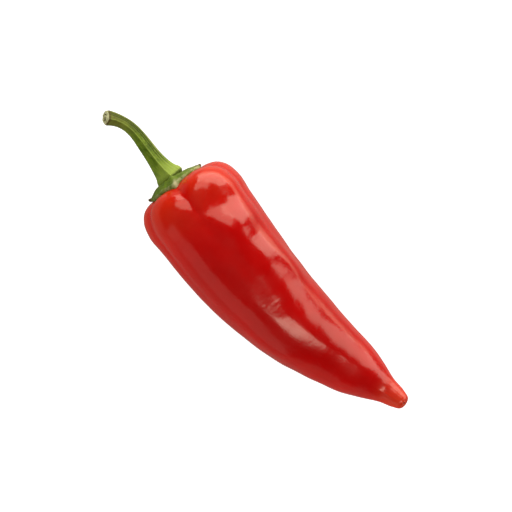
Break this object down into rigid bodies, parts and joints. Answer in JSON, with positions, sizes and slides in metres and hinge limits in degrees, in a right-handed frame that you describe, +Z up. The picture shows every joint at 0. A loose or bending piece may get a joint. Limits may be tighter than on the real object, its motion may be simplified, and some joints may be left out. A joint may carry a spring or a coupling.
{
  "type": "chilli pepper",
  "caption": "Whole red chilli pepper lying on its side: a glossy, tapered, gently bent fruit with lobed shoulders, a small green calyx and a curved green stem.",
  "frame": {"origin": "on the table under the middle of the whole pepper", "axes": "+X from the stem's cut end to the fruit's tip, +Z up from the table the pepper lies on, +Y to the left when looking along +X"},
  "size_m": [0.117, 0.0328, 0.0293],
  "materials": {
    "fruit": "smooth waxy red skin, deep red along the middle and orange-red at the shoulder and the tip",
    "calyx": "thin green cap with a pale edge and brown dried points",
    "stem": "ridged green stalk, satin, with a pale cut face"
  },
  "bodies": {
    "root": {"fruit": "fruit", "calyx": "calyx", "stem": "stem"}
  },
  "joints": []
}
